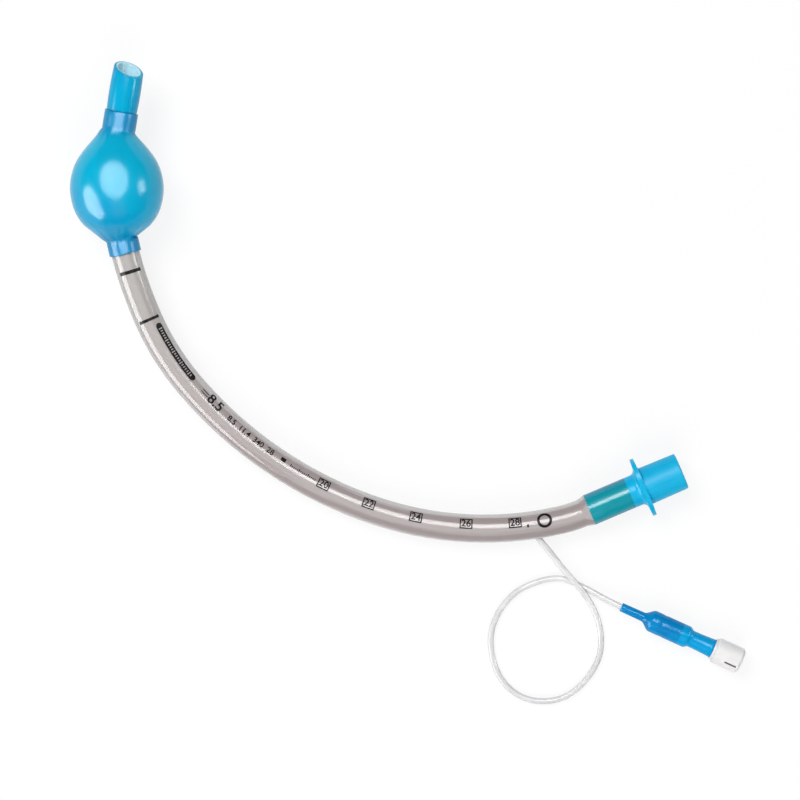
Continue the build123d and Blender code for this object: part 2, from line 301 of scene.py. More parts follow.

# The same tube where it is stretched over the blue spigot and clings to it in patches, which also serve as
# painted sheen streaks, with painted shadow on its lower side
spigotLook = {
    "colour": (0.005, 0.33, 0.40), "shadow": (0.0, 0.20, 0.38), "shadowRange": (0.15, 0.5),
    "shadowWaver": 0.3, "edgeRange": (-0.0002, 0.0004), "edgeWaver": 0.0012,
    "clingAndSheen": (0.05, 0.45, 0.55), "clingScale": 7.0, "clingAlong": 60.0, "clingRange": (0.52, 0.72),
    "clingShare": 0.5,
}


def drawnOut(place, turn, scale, alongScale, detail):
    # Noise that runs along the tube in streaks
    x, y = place.axisParts()[:2]
    return place.noise(place.joined(turn * scale, x * alongScale, y * alongScale), 1.0, detail)


def tubeMaterial():
    material, shade, place = newMaterial("clearTube")
    height = place.minusPlace(tubeLay["tip"]).along(tubeStation(0)[3]) / tubeLay["radius"]
    turn = shade.reckon("ARCCOSINE", height.lesser(0.999).greater(-0.999))  # from the top to the side
    around = turn / math.pi
    streak = drawnOut(place, turn, tubeLook["streakScale"], tubeLook["streakAlong"], 3.0)
    cloud = shade.noise(place, tubeLook["cloudScale"])
    share = around + (streak - 0.5) * tubeLook["streakDepth"] + (cloud - 0.5) * tubeLook["cloudDepth"]
    # Painted light by the angle from the tube's top: painted highlight on top, painted shade bands, paler
    # painted sides
    colour = share.ramp([
        (0.0, tubeLook["paintedTopHighlight"]), (0.05, tubeLook["paintedTopHighlight"]), (0.13, tubeLook["paintedShadeBand"]),
        (0.26, tubeLook["paintedShadeBand"]), (0.34, tubeLook["edge"]), (0.62, tubeLook["edge"]),
        (1.0, tubeLook["paintedShadeBand"]),
    ])
    away = place.minusPlace(tubeStation(tubeLook["nearCuffFrom"])[0]).span()
    near = away.smoothStep(tubeLook["nearCuffReach"], 0.0) * tubeLook["nearCuffShare"]
    colour = near.mixColour(colour, tubeLook["nearCuff"])
    clingAndSheen = drawnOut(place, turn, spigotLook["clingScale"], spigotLook["clingAlong"], 4.0)
    shadow = (around + (streak - 0.5) * spigotLook["shadowWaver"]).smoothStep(*spigotLook["shadowRange"])
    spigotColour = shadow.mixColour(spigotLook["colour"], spigotLook["shadow"])
    # Lighter patches: partly the tube clinging to the spigot, partly painted sheen streaks
    patch = clingAndSheen.smoothStep(*spigotLook["clingRange"]) * spigotLook["clingShare"]
    spigotColour = patch.mixColour(spigotColour, spigotLook["clingAndSheen"])
    spigot, endHeading = tubeStation(tubeLay["spigotFrom"])[:2]
    edge = (clingAndSheen - 0.5) * spigotLook["edgeWaver"] + place.minusPlace(spigot).along(endHeading)
    finishMaterial(shade, principled(shade, {
        "Base Color": edge.smoothStep(*spigotLook["edgeRange"]).mixColour(colour, spigotColour),
        "Roughness": tubeLook["roughness"] + (streak - 0.5) * tubeLook["roughnessSpread"],
        "Normal": streak.bump(*tubeLook["bump"]), "Transmission Weight": tubeLook["transmission"],
        "IOR": tubeLook["ior"], "Specular IOR Level": tubeLook["gloss"],
    }))
    return material


# Soft blue tip: pale on the inside of its wall, with faint flow lines from the mould
tipLook = {
    "outside": (0.0, 0.38, 0.62), "outsideTwo": (0.0, 0.32, 0.58), "inside": (0.50, 0.80, 0.90),
    "innerRadius": 0.0047, "outerRadius": 0.0053, "flowScale": 90.0, "grainScale": 1800.0,
    "roughness": 0.2, "roughnessSpread": 0.1, "bump": (0.04, 0.0001),
    "transmission": 0.08, "ior": 1.45, "gloss": 0.22,
}


def tipMaterial():
    material, shade, place = newMaterial("softBlue")
    fromAxis = place.roundAxis(tubeLay["tip"], Vector(tubeLay["tipHeading"]).normalized())[1]
    outside = fromAxis.smoothStep(tipLook["innerRadius"], tipLook["outerRadius"])
    flow = shade.noise(place, tipLook["flowScale"], 4.0)
    grain = shade.noise(place, tipLook["grainScale"], 3.0)
    colour = outside.mixColour(tipLook["inside"], flow.twoTone(tipLook["outside"], tipLook["outsideTwo"]))
    finishMaterial(shade, principled(shade, {
        "Base Color": colour, "Roughness": tipLook["roughness"] + (flow - 0.5) * tipLook["roughnessSpread"],
        "Normal": grain.bump(*tipLook["bump"]), "Transmission Weight": tipLook["transmission"],
        "IOR": tipLook["ior"], "Specular IOR Level": tipLook["gloss"],
    }))
    return material


# Moulded connector: satin, with a matt band on its cone
connectorLook = {
    "colour": (0.0, 0.42, 0.69), "colourTwo": (0.0, 0.38, 0.65), "cloudScale": 60.0, "grainScale": 2600.0,
    "roughness": 0.30, "mattRoughness": 0.42, "roughnessSpread": 0.08, "mattRange": (0.0162, 0.0150),
    "bump": (0.06, 0.0001), "subsurface": 0.12, "subsurfaceScale": 0.002, "ior": 1.46, "gloss": 0.22,
}


def connectorMaterial():
    material, shade, place = newMaterial("connectorBlue")
    end, heading = tubeStation(tubeLay["end"])[:2]
    cone = (place.minusPlace(end).along(heading) * -1).smoothStep(*connectorLook["mattRange"])
    cloud = shade.noise(place, connectorLook["cloudScale"])
    grain = shade.noise(place, connectorLook["grainScale"], 4.0)
    roughness = cone * (connectorLook["mattRoughness"] - connectorLook["roughness"]) \
        + (grain - 0.5) * connectorLook["roughnessSpread"] + connectorLook["roughness"]
    finishMaterial(shade, principled(shade, {
        "Base Color": cloud.twoTone(connectorLook["colour"], connectorLook["colourTwo"]),
        "Roughness": roughness, "Normal": grain.bump(*connectorLook["bump"]),
        "Subsurface Weight": connectorLook["subsurface"],
        "Subsurface Scale": connectorLook["subsurfaceScale"],
        "IOR": connectorLook["ior"], "Specular IOR Level": connectorLook["gloss"],
    }))
    return material


def plastic(name, look):
    # Moulded plastic: two near colours in soft clouds, with fine grain in its gloss
    material, shade, place = newMaterial(name)
    cloud = shade.noise(place, look["cloudScale"], 3.0)
    grain = shade.noise(place, look["grainScale"], 4.0)
    colour = cloud.twoTone(look["colour"], look["colourTwo"])
    if "recess" in look:  # shaded between two distances from the axis, as inside a slit
        recess = look["recess"]
        deep, fromAxis = place.roundAxis(pilotAxis["neck"], pilotAxis["heading"])
        (low, high), edge = recess["radii"], recess["radiusEdge"]
        inside = fromAxis.smoothStep(high, high - edge) * fromAxis.smoothStep(low, low + edge)
        (first, last), edge = recess["span"], recess["spanEdge"]
        ahead = deep.smoothStep(first, first + edge) * deep.smoothStep(last, last - edge)
        colour = (inside * ahead).mixColour(colour, recess["colour"])
    finishMaterial(shade, principled(shade, {
        "Base Color": colour, "Normal": grain.bump(look["bump"], 0.0001),
        "Roughness": look["roughness"] + (grain - 0.5) * look["roughnessSpread"], **look["extra"],
    }))
    return material


smallLooks = {
    "line": {
        "colour": (0.66, 0.66, 0.67), "colourTwo": (0.74, 0.74, 0.74), "cloudScale": 100.0,
        "grainScale": 1500.0, "roughness": 0.24, "roughnessSpread": 0.08, "bump": 0.02,
        "extra": {"Transmission Weight": 0.10, "IOR": 1.5, "Specular IOR Level": 0.3},
    },
    "barrel": {
        "colour": (0.72, 0.73, 0.74), "colourTwo": (0.78, 0.78, 0.79), "cloudScale": 100.0,
        "grainScale": 2000.0, "roughness": 0.25, "roughnessSpread": 0.05, "bump": 0.02,
        "extra": {"Transmission Weight": 0.10, "IOR": 1.5},
    },
    "cap": {
        "colour": (0.76, 0.755, 0.75), "colourTwo": (0.71, 0.71, 0.71), "cloudScale": 150.0,
        "grainScale": 3000.0, "roughness": 0.42, "roughnessSpread": 0.12, "bump": 0.05,
        "extra": {"Subsurface Weight": 0.1, "Subsurface Scale": 0.001, "IOR": 1.46,
                  "Specular IOR Level": 0.2},
        "recess": {"radii": (0.0042, 0.0052), "radiusEdge": 0.0003, "span": (0.0460, 0.0520),
                   "spanEdge": 0.0002, "colour": (0.22, 0.205, 0.195)},
    },
    "seal": {
        "colour": (0.02, 0.02, 0.02), "colourTwo": (0.03, 0.03, 0.03), "cloudScale": 300.0,
        "grainScale": 4000.0, "roughness": 0.6, "roughnessSpread": 0.15, "bump": 0.1,
        "extra": {"IOR": 1.5},
    },
    "spring": {
        "colour": (0.62, 0.62, 0.63), "colourTwo": (0.55, 0.55, 0.57), "cloudScale": 400.0,
        "grainScale": 4000.0, "roughness": 0.25, "roughnessSpread": 0.1, "bump": 0.05,
        "extra": {"Metallic": 1.0},
    },
}

dress(nodes["tube"], tubeMaterial())
dress(nodes["soft_tip"], tipMaterial())
dress(nodes["connector"], connectorMaterial())
dress(nodes["valve_body"], plastic("barrelClear", smallLooks["barrel"]))
capMaterial = plastic("capWhite", smallLooks["cap"])
dress(nodes["valve_cap"], capMaterial)
dress(nodes["valve_plunger"], capMaterial)
dress(nodes["valve_seal"], plastic("sealRubber", smallLooks["seal"]))
print("materials of the rigid pieces")

# The cuff: a thin blown-up film, gathered into its two collars
cuffSet = {
    "collarStart": 0.0200, "start": 0.0274, "length": 0.0439, "collarEnd": 0.0770,
    "distalRadius": 0.0067, "proximalRadius": 0.00645, "boreRadius": 0.00572, "diameter": 0.0374,
    "straightTurn": 10.0, "shift": 0.0004, "film": 0.00025,
    "rings": [  # share of the length, share of the height
        (0.00, 0.00), (0.05, 0.11), (0.16, 0.46), (0.27, 0.75), (0.38, 0.92), (0.52, 1.00),
        (0.65, 0.95), (0.76, 0.82), (0.86, 0.58), (0.93, 0.28), (0.97, 0.10), (1.00, 0.00),
    ],
    "lip": [(0.0, 0.0002), (0.0001, 0.00006), (0.00035, 0.0)],  # back from a collar's edge, drop
    "distalShares": (0.3, 0.6, 0.8), "proximalShares": (0.25, 0.5, 0.75),
    "segments": 120, "steps": 76,
    "waves": [(7, 0.35), (11, 0.3), (16, 0.2), (23, 0.15)],  # folds round the collar, weight
    "distalFold": 0.00018, "proximalFold": 0.00038, "foldReach": 0.0065, "foldSharpness": 3,
    "foldMiddle": 0.4, "trim": 0.00022, "trimRings": 3, "seed": 5,
}
cuffLook = {
    "film": (0.0, 0.43, 0.66), "filmTwo": (0.0, 0.37, 0.66), "filmRange": (0.40, 0.72), "filmSlope": 12.0,
    "collar": (0.0, 0.25, 0.52), "collarRange": (0.40, 0.54), "collarMatt": 0.06,
    "paintedTubeShade": 0.45, "paintedTubeShadeColour": (0.0, 0.27, 0.44), "ghostRange": (0.0066, 0.0046), "ghostFade": 0.15,
    "cloudScale": 45.0, "fineScale": 900.0, "roughness": 0.17, "roughnessSpread": 0.06,
    "cloudBump": 0.7, "fineBump": 0.02, "bump": (0.25, 0.0006),
    "transmission": 0.12, "ior": 1.46, "gloss": 0.27,
}


def smoothShare(rings, share):
    # Height at a share of the length, on one smooth curve through the listed rings
    last = len(rings) - 1
    index = max(i for i in range(last) if rings[i][0] <= share or i == 0)
    low, high = rings[index], rings[index + 1]
    before, after = rings[max(index - 1, 0)], rings[min(index + 2, last)]
    span = high[0] - low[0]
    slopeLow = (high[1] - before[1]) / (high[0] - before[0])
    slopeHigh = (after[1] - low[1]) / (after[0] - low[0])
    t = (share - low[0]) / span
    return ((2 * t ** 3 - 3 * t ** 2 + 1) * low[1] + (t ** 3 - 2 * t ** 2 + t) * span * slopeLow
            + (3 * t ** 2 - 2 * t ** 3) * high[1] + (t ** 3 - t ** 2) * span * slopeHigh)


def cuffFrame(share, height):
    # The blown-up middle stands straight while its ends follow the bend of the tube
    place, ahead, _, up = tubeStation(cuffSet["start"] + share * cuffSet["length"])
    middle, _, middleSide, _ = tubeStation(cuffSet["start"] + cuffSet["length"] / 2)
    tipAhead = Vector(tubeLay["tipHeading"]).normalized()
    axis = Matrix.Rotation(math.radians(cuffSet["straightTurn"]), 3, up) @ tipAhead
    straight = middle - middleSide * cuffSet["shift"] + axis * (share - 0.5) * cuffSet["length"]
    rise = min(1.0, math.sqrt(max(4 * height, 0.0)))
    weight = rise * (2 - rise)
    heading = ahead.lerp(axis, weight).normalized()
    return placing(heading.cross(up).normalized(), up, heading, place.lerp(straight, weight))


def foldDepth(depth, distance):
    # Deepest half a reach from the collar
    return depth * math.exp(-(distance / cuffSet["foldReach"] - 0.5) ** 2 * cuffSet["foldSharpness"])


def cuffRings():
    # Frame, radius and fold depth of every ring, from one collar's end to the other's
    collarFrom, collarTo, length = cuffSet["collarStart"], cuffSet["collarEnd"], cuffSet["length"]
    distal, proximal, bore = cuffSet["distalRadius"], cuffSet["proximalRadius"], cuffSet["boreRadius"]
    rings = [(stationFrame(collarFrom), bore, 0.0)]
    for back, drop in cuffSet["lip"]:
        rings.append((stationFrame(collarFrom + back), distal - drop, 0.0))
    for share in cuffSet["distalShares"]:
        rings.append((stationFrame(collarFrom + (cuffSet["start"] - collarFrom) * share), distal, 0.0))
    for step in range(cuffSet["steps"] + 1):
        share = step / cuffSet["steps"]
        height = smoothShare(cuffSet["rings"], share)
        base = distal + share * (proximal - distal)
        fold = foldDepth(cuffSet["distalFold"], share * length) \
            + foldDepth(cuffSet["proximalFold"], length - share * length)
        rings.append((cuffFrame(share, height), base + height * (cuffSet["diameter"] / 2 - base), fold))
    cuffEnd = cuffSet["start"] + length
    for share in cuffSet["proximalShares"]:
        rings.append((stationFrame(cuffEnd + (collarTo - cuffEnd) * share), proximal, 0.0))
    for back, drop in reversed(cuffSet["lip"]):
        rings.append((stationFrame(collarTo - back), proximal - drop, 0.0))
    rings.append((stationFrame(collarTo), bore, 0.0))
    return rings


def makeCuff():
    chance = random.Random(cuffSet["seed"])
    waves = [(count, chance.uniform(0, 2 * math.pi), weight) for count, weight in cuffSet["waves"]]
    bm = bmesh.new()
    verts = bmesh.ops.create_circle(bm, segments=cuffSet["segments"], radius=1.0)["verts"]
    previous = Matrix.Identity(4)
    placed = []
    for index, (ringFrame, radius, fold) in enumerate(cuffRings()):
        if index:
            edges = [edge for edge in bm.edges if edge.verts[0] in ring and edge.verts[1] in ring]
            made = bmesh.ops.extrude_edge_only(bm, edges=edges)["geom"]
            verts = [item for item in made if isinstance(item, bmesh.types.BMVert)]
        ring = set(verts)
        matrix = ringFrame @ Matrix.Diagonal((radius, radius, 1.0, 1.0))
        bmesh.ops.transform(bm, matrix=matrix @ previous.inverted(), verts=verts)
        previous = matrix
        placed.append((verts, ringFrame, fold))
    trim = chance.uniform(0, 2 * math.pi)
    for index, (verts, ringFrame, fold) in enumerate(placed):
        centre, turned = ringFrame.translation, ringFrame.inverted()
        heading = ringFrame.to_3x3() @ Vector((0, 0, 1))
        fromLip = max(min(index, len(placed) - 1 - index) - cuffSet["trimRings"], 0)
        slant = cuffSet["trim"] * max(0.0, 1 - fromLip / cuffSet["trimRings"])
        for vert in verts:
            flat = turned @ vert.co
            angle = math.atan2(flat.y, flat.x)
            wave = sum(weight * math.cos(count * angle + phase) for count, phase, weight in waves)
            vert.co += (vert.co - centre).normalized() * fold * (wave - cuffSet["foldMiddle"])
            vert.co += heading * slant * (math.cos(angle + trim) + 0.5 * math.cos(3 * angle + 2 * trim))
    bmesh.ops.recalc_face_normals(bm, faces=bm.faces)
    piece = finishPiece("cuffFilm", bm, "airway", cuffMaterial(), ["cuff"])
    return giveWall(piece, cuffSet["film"])


def cuffMaterial():
    material, shade, place = newMaterial("cuffFilm")
    middle, heading, side = tubeStation(cuffSet["start"] + cuffSet["length"] / 2)[:3]
    fromMiddle = place.minusPlace(middle)
    deep = fromMiddle.along(heading)
    low, high = cuffLook["collarRange"]
    collar = deep.absolute().smoothStep(cuffSet["length"] * low, cuffSet["length"] * high)
    cloud = shade.noise(place, cuffLook["cloudScale"])
    fine = shade.noise(place, cuffLook["fineScale"], 4.0)
    film = (cloud + deep * cuffLook["filmSlope"]).smoothStep(*cuffLook["filmRange"])
    colour = collar.mixColour(film.mixColour(cuffLook["film"], cuffLook["filmTwo"]), cuffLook["collar"])
    # Painted shade: a faint darker band over the tube inside, as it shows through the film
    overTube = fromMiddle.along(side).absolute().smoothStep(*cuffLook["ghostRange"])
    paintedTubeShade = overTube * (cloud - cuffLook["ghostFade"]).lesser(1.0) * cuffLook["paintedTubeShade"]
    relief = cloud * cuffLook["cloudBump"] + fine * cuffLook["fineBump"]
    roughness = collar * cuffLook["collarMatt"] + (fine * cuffLook["roughnessSpread"] + cuffLook["roughness"])
    finishMaterial(shade, principled(shade, {
        "Base Color": paintedTubeShade.mixColour(colour, cuffLook["paintedTubeShadeColour"]), "Roughness": roughness,
        "Normal": relief.bump(*cuffLook["bump"]), "Transmission Weight": cuffLook["transmission"],
        "IOR": cuffLook["ior"], "Specular IOR Level": cuffLook["gloss"],
    }))
    return material


cuffPiece = makeCuff()
print("cuff")

# The pilot balloon: a short film tube, drawn down to a neck in front and over the valve's barrel behind
pilotSet = {
    "lineRadius": 0.001235, "barrelRadius": 0.00276, "film": 0.0002, "segments": 72, "lip": 0.0001,
    "neckRadius": 0.0018, "neckFlare": 0.0019, "neckEnd": 0.0095, "bodyStart": 0.0139, "bodyRadius": 0.0045,
    "bodyEnd": 0.0289, "rearStart": 0.0310, "rearRadius": 0.00345, "rearFlare": 0.00385, "rearEnd": 0.0406,
    "barrelStart": 0.0258,
    "creases": 9, "creaseSpan": (0.0172, 0.0272), "creaseDepth": 0.00022, "creaseShares": (0.5, 1.0),
    "creaseLength": 0.0007, "creaseTurn": 0.7, "deepest": 1.5, "creaseMargin": 0.002, "seed": 11,
}
pilotLook = {
    "film": (0.0, 0.25, 0.57), "filmTwo": (0.0, 0.21, 0.52), "overBarrel": (0.0, 0.33, 0.67),
    "barrelEdge": 0.0006, "cloudScale": 160.0, "crinkleAlong": 1100.0, "crinkleAcross": 160.0,
    "looseFrom": (0.0145, 0.0165), "looseTo": (0.0300, 0.0270), "cloudBump": 0.3, "bump": (0.35, 0.0003),
    "roughness": 0.20, "roughnessSpread": 0.06, "transmission": 0.08, "ior": 1.48, "gloss": 0.13,
}


def pilotOutline():
    # Distance along the pilot's axis and radius, from the line's surface to the barrel's
    lip, neck, flare = pilotSet["lip"], pilotSet["neckRadius"], pilotSet["neckFlare"]
    body, rear = pilotSet["bodyRadius"], pilotSet["rearRadius"]
    points = [(0.0, pilotSet["lineRadius"]), (0.0, neck - lip), (lip, neck)]
    stretches = [
        (0.0, pilotSet["neckEnd"], neck, flare, 8, "straight"),
        (pilotSet["neckEnd"], pilotSet["bodyStart"], flare, body, 14, "rounded"),
        (pilotSet["bodyStart"], pilotSet["bodyEnd"], body, body, 36, "straight"),
        (pilotSet["bodyEnd"], pilotSet["rearStart"], body, rear, 10, "rounded"),
        (pilotSet["rearStart"], pilotSet["rearEnd"], rear, pilotSet["rearFlare"], 10, "flared"),
    ]
    for start, end, radiusFrom, radiusTo, steps, form in stretches:
        for step in range(1, steps + 1):
            share = step / steps
            rise = {"straight": share, "rounded": share * share * (3 - 2 * share), "flared": share ** 2}[form]
            points.append((start + (end - start) * share, radiusFrom + (radiusTo - radiusFrom) * rise))
    points.append((pilotSet["rearEnd"], pilotSet["barrelRadius"]))
    return points


def makePilot():
    chance = random.Random(pilotSet["seed"])
    neck, heading, up = pilotFrame()
    bm = bmesh.new()
    chain = [bm.verts.new(neck + heading * along + up * radius) for along, radius in pilotOutline()]
    for first, second in zip(chain, chain[1:]):
        bm.edges.new((first, second))
    bmesh.ops.spin(bm, geom=list(bm.verts) + list(bm.edges), cent=neck, axis=heading,
                   angle=2 * math.pi, steps=pilotSet["segments"], use_merge=True)
    bmesh.ops.remove_doubles(bm, verts=bm.verts, dist=1e-6)
    creases = [(chance.uniform(*pilotSet["creaseSpan"]), chance.uniform(0, 2 * math.pi),
                chance.uniform(*pilotSet["creaseShares"])) for _ in range(pilotSet["creases"])]
    for vert in bm.verts:
        along = (vert.co - neck).dot(heading)
        if not pilotSet["bodyStart"] - pilotSet["creaseMargin"] < along < pilotSet["rearStart"]:
            continue
        outwards = (vert.co - neck - heading * along).normalized()
        around = math.atan2(outwards.dot(heading.cross(up)), outwards.dot(up))
        dent = 0.0
        for at, middle, depth in creases:
            turn = (around - middle + math.pi) % (2 * math.pi) - math.pi
            dent += depth * math.exp(-((along - at) / pilotSet["creaseLength"]) ** 2
                                     - (turn / pilotSet["creaseTurn"]) ** 2)
        vert.co -= outwards * pilotSet["creaseDepth"] * min(dent, pilotSet["deepest"])
    bmesh.ops.recalc_face_normals(bm, faces=bm.faces)
    piece = finishPiece("pilotFilm", bm, "airway", pilotMaterial(), ["pilot_balloon"])
    return giveWall(piece, pilotSet["film"])


def pilotMaterial():
    material, shade, place = newMaterial("pilotFilm")
    neck, heading = pilotFrame()[:2]
    along = place.minusPlace(neck).along(heading)
    barrelStart = pilotSet["barrelStart"]
    overBarrel = along.smoothStep(barrelStart, barrelStart + pilotLook["barrelEdge"])
    cloud = shade.noise(place, pilotLook["cloudScale"], 3.0)
    x, _, z = place.axisParts()
    across = pilotLook["crinkleAcross"]
    crinkle = shade.noise(shade.joined(along * pilotLook["crinkleAlong"], x * across, z * across), 1.0, 3.0)
    loose = along.smoothStep(*pilotLook["looseFrom"]) * along.smoothStep(*pilotLook["looseTo"])
    film = cloud.twoTone(pilotLook["film"], pilotLook["filmTwo"])
    relief = crinkle * loose + cloud * pilotLook["cloudBump"]
    finishMaterial(shade, principled(shade, {
        "Base Color": overBarrel.mixColour(film, pilotLook["overBarrel"]),
        "Roughness": pilotLook["roughness"] + (cloud - 0.5) * pilotLook["roughnessSpread"],
        "Normal": relief.bump(*pilotLook["bump"]), "Transmission Weight": pilotLook["transmission"],
        "IOR": pilotLook["ior"], "Specular IOR Level": pilotLook["gloss"],
    }))
    return material


pilotPiece = makePilot()
print("pilot balloon")

# The valve's spring, which shortens as the plunger is pressed, as a coil of wire rising from its floor
springSet = {
    "floor": 0.0270, "free": 0.00914, "coil": 0.0028, "wire": 0.00036, "turns": 5,
    "wireSides": 12, "turnSteps": 36, "keep": 0.828,
}


def makeSpring():
    neck, heading, up = pilotFrame()
    start = neck + heading * (springSet["floor"] + springSet["wire"] / 2)
    bm = bmesh.new()
    ring = bmesh.ops.create_circle(bm, segments=springSet["wireSides"], radius=springSet["wire"] / 2)["verts"]
    across = placing(up, heading, heading.cross(up), start + up * springSet["coil"] / 2)
    bmesh.ops.transform(bm, verts=ring, matrix=across)
    steps = springSet["turns"] * springSet["turnSteps"]
    bmesh.ops.spin(bm, geom=list(bm.verts) + list(bm.edges), cent=start, axis=heading,
                   angle=2 * math.pi * springSet["turns"], steps=steps,
                   dvec=heading * springSet["free"] / steps)
    bmesh.ops.holes_fill(bm, edges=[edge for edge in bm.edges if edge.is_boundary])
    bmesh.ops.recalc_face_normals(bm, faces=bm.faces)
    piece = finishPiece("springWire", bm, "airway", plastic("springSteel", smallLooks["spring"]),
                        ["valve_spring"])
    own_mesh(piece)
    return piece


springPiece = makeSpring()
print("spring")

# The inflation line, with the route's points as the model prints them, in metres
lineSet = {
    "points": [
        (0.06288, -0.09357, 0.00605), (0.06861, -0.10039, 0.00590), (0.07461, -0.10819, 0.00530),
        (0.08011, -0.11409, 0.00460), (0.08581, -0.12189, 0.00270), (0.08951, -0.13139, 0.00130),
        (0.08961, -0.14259, 0.00123), (0.08391, -0.15269, 0.00123), (0.07431, -0.16059, 0.00123),
        (0.06171, -0.16159, 0.00123), (0.05211, -0.15679, 0.00123), (0.04601, -0.14759, 0.00123),
        (0.04411, -0.13549, 0.00123), (0.04711, -0.12549, 0.00123), (0.05421, -0.11679, 0.00123),
        (0.06381, -0.11229, 0.00123), (0.07291, -0.11079, 0.00123), (0.08111, -0.11399, 0.00170),
        (0.09295, -0.12063, 0.00396), (0.10342, -0.12538, 0.00429),
    ],
    "diameter": 0.00245, "length": 0.2022, "exit": (0.0639, -0.0948, 0.0060),
    "bevelSteps": 8, "curveSteps": 12,
}


def makeLine():
    curve = bpy.data.curves.new("inflationLine", "CURVE")
    curve.dimensions = "3D"
    curve.bevel_depth = 1.0  # times each point's radius, which is the line's own
    curve.bevel_resolution = lineSet["bevelSteps"]
    curve.resolution_u = lineSet["curveSteps"]
    curve.use_fill_caps = True
    spline = curve.splines.new("NURBS")
    spline.points.add(len(lineSet["points"]) - 1)
    for point, place in zip(spline.points, lineSet["points"]):
        point.co = (*place, 1.0)
        point.radius = lineSet["diameter"] / 2
    spline.order_u = 3
    spline.use_endpoint_u = True
    line = bpy.data.objects.new("inflationLine", curve)
    scene.collection.objects.link(line)
    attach(line, "airway")
    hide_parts("inflation_line")
    line.data.materials.append(plastic("lineMilky", smallLooks["line"]))


makeLine()
print("inflation line")

# Plain black print: cross lines behind the cuff, a ruled bar, size figures and framed depth figures
printSet = {
    "lift": 0.00005, "rowStep": 0.0004, "rows": 14, "columnStep": 0.001, "columns": 20,
    "rings": [(0.0845, -0.0053, 0.0041, 0.0014), (0.1051, -0.0056, 0.0035, 0.0012)],
    "bar": (0.1078, 0.1358, -0.0037, 0.0028), "barEndSides": 24,
    "barMarks": {"first": -0.0115, "count": 22, "step": 0.0011, "width": 0.0005,
                 "long": 0.62, "short": 0.38, "lift": 0.00003},
    "sizes": [("8.5", 0.1487, -0.0037, 0.0044), ("8.5  11.4  340  28", 0.1683, -0.0031, 0.0024)],
    "figures": [("20", 0.2043), ("22", 0.2244), ("24", 0.2445), ("26", 0.2653), ("28", 0.2854)],
    "figureAcross": -0.0028, "figureHeight": 0.0029, "figureBox": (0.0048, 0.0038), "frameLine": 0.0005,
    "figureScale": 1.4, "boldness": 0.02,
    "twoLines": (0.1428, -0.0034, 0.0036, 0.00035, 0.0011),
    "blocks": [(0.1850, -0.0033, 0.0022, 0.0017), (0.2905, -0.0009, 0.0008, 0.0012)],
    "fineMarks": (0.1945, -0.0030, 15, 0.00082, 0.00040, 0.0013), "fineShort": 0.6, "longEvery": 5,
    "target": (0.2975, -0.0022, 0.0031, 0.0011), "targetSides": 48,
}
inkLook = {
    "ink": ((0.008, 0.007, 0.008), (0.03, 0.028, 0.028)), "gap": ((0.30, 0.28, 0.28), (0.42, 0.40, 0.40)),
    "speckScale": 2500.0, "speckRange": (0.45, 0.85), "roughness": 0.35, "roughnessSpread": 0.2,
    "ior": 1.4, "gloss": 0.15,
}


def cutAcross(bm, place, direction):
    bmesh.ops.bisect_plane(bm, geom=list(bm.verts) + list(bm.edges) + list(bm.faces), dist=1e-7,
                           plane_co=place, plane_no=direction)


def wrapped(bm, distance, across):
    # Lays a flat shape onto the tube's upper side: its x along the tube, its y towards the inner side
    for row in range(-printSet["rows"], printSet["rows"] + 1):
        cutAcross(bm, (0, row * printSet["rowStep"], 0), (0, 1, 0))
    for column in range(-printSet["columns"], printSet["columns"] + 1):
        cutAcross(bm, (column * printSet["columnStep"], 0, 0), (1, 0, 0))
    radius = tubeLay["radius"]
    for vert in bm.verts:
        reach = (vert.co.y - across) / radius
        vert.co = onTube(distance + vert.co.x, -reach, radius + printSet["lift"])


def flatBar(bm, x, y, length, width):
    bar = bmesh.ops.create_grid(bm, x_segments=1, y_segments=1, size=0.5)["verts"]
    bmesh.ops.scale(bm, vec=(length, width, 1), verts=bar)
    bmesh.ops.translate(bm, vec=(x, y, 0), verts=bar)


def flatFigures(bm, text, height):
    curve = bpy.data.curves.new("figures", "FONT")
    curve.body = text
    curve.size = height * printSet["figureScale"]
    curve.align_x = "CENTER"
    curve.align_y = "CENTER"
    curve.offset = curve.size * printSet["boldness"]
    holder = bpy.data.objects.new("figures", curve)
    scene.collection.objects.link(holder)
    mesh = bpy.data.meshes.new_from_object(holder)
    bpy.data.objects.remove(holder)
    bm.from_mesh(mesh)
    bpy.data.meshes.remove(mesh)


def layPrint(name, bm, distance, across, material):
    wrapped(bm, distance, across)
    bmesh.ops.recalc_face_normals(bm, faces=bm.faces)
    return finishPiece(name, bm, "airway", material)


def barPrint(name, bars, distance, across, material):
    bm = bmesh.new()
    for bar in bars:
        flatBar(bm, *bar)
    return layPrint(name, bm, distance, across, material)


def inkMaterial(name, colours):
    material, shade, place = newMaterial(name)
    speck = shade.noise(place, inkLook["speckScale"], 4.0)
    finishMaterial(shade, principled(shade, {
        "Base Color": speck.smoothStep(*inkLook["speckRange"]).mixColour(*colours),
        "Roughness": inkLook["roughness"] + (speck - 0.5) * inkLook["roughnessSpread"],
        "IOR": inkLook["ior"], "Specular IOR Level": inkLook["gloss"],
    }))
    return material


def makeRuledBar(ink, gap):
    start, end, across, width = printSet["bar"]
    middle, straight = (start + end) / 2, end - start - width
    bm = bmesh.new()
    flatBar(bm, 0, 0, straight, width)
    for side in (-1, 1):
        roundEnd = bmesh.ops.create_circle(bm, segments=printSet["barEndSides"], radius=width / 2,
                                           cap_ends=True)["verts"]
        bmesh.ops.translate(bm, vec=(side * straight / 2, 0, 0), verts=roundEnd)
    layPrint("ruledBar", bm, middle, across, ink)
    ticks = printSet["barMarks"]
    marks = barPrint("barMarks", [
        (ticks["first"] + step * ticks["step"], 0.0, ticks["width"],
         width * (ticks["short"] if step % printSet["longEvery"] else ticks["long"]))
        for step in range(ticks["count"])], middle, across, gap)
    lift = tubeStation(middle)[3] * ticks["lift"]
    for vert in marks.data.vertices:
        vert.co += lift


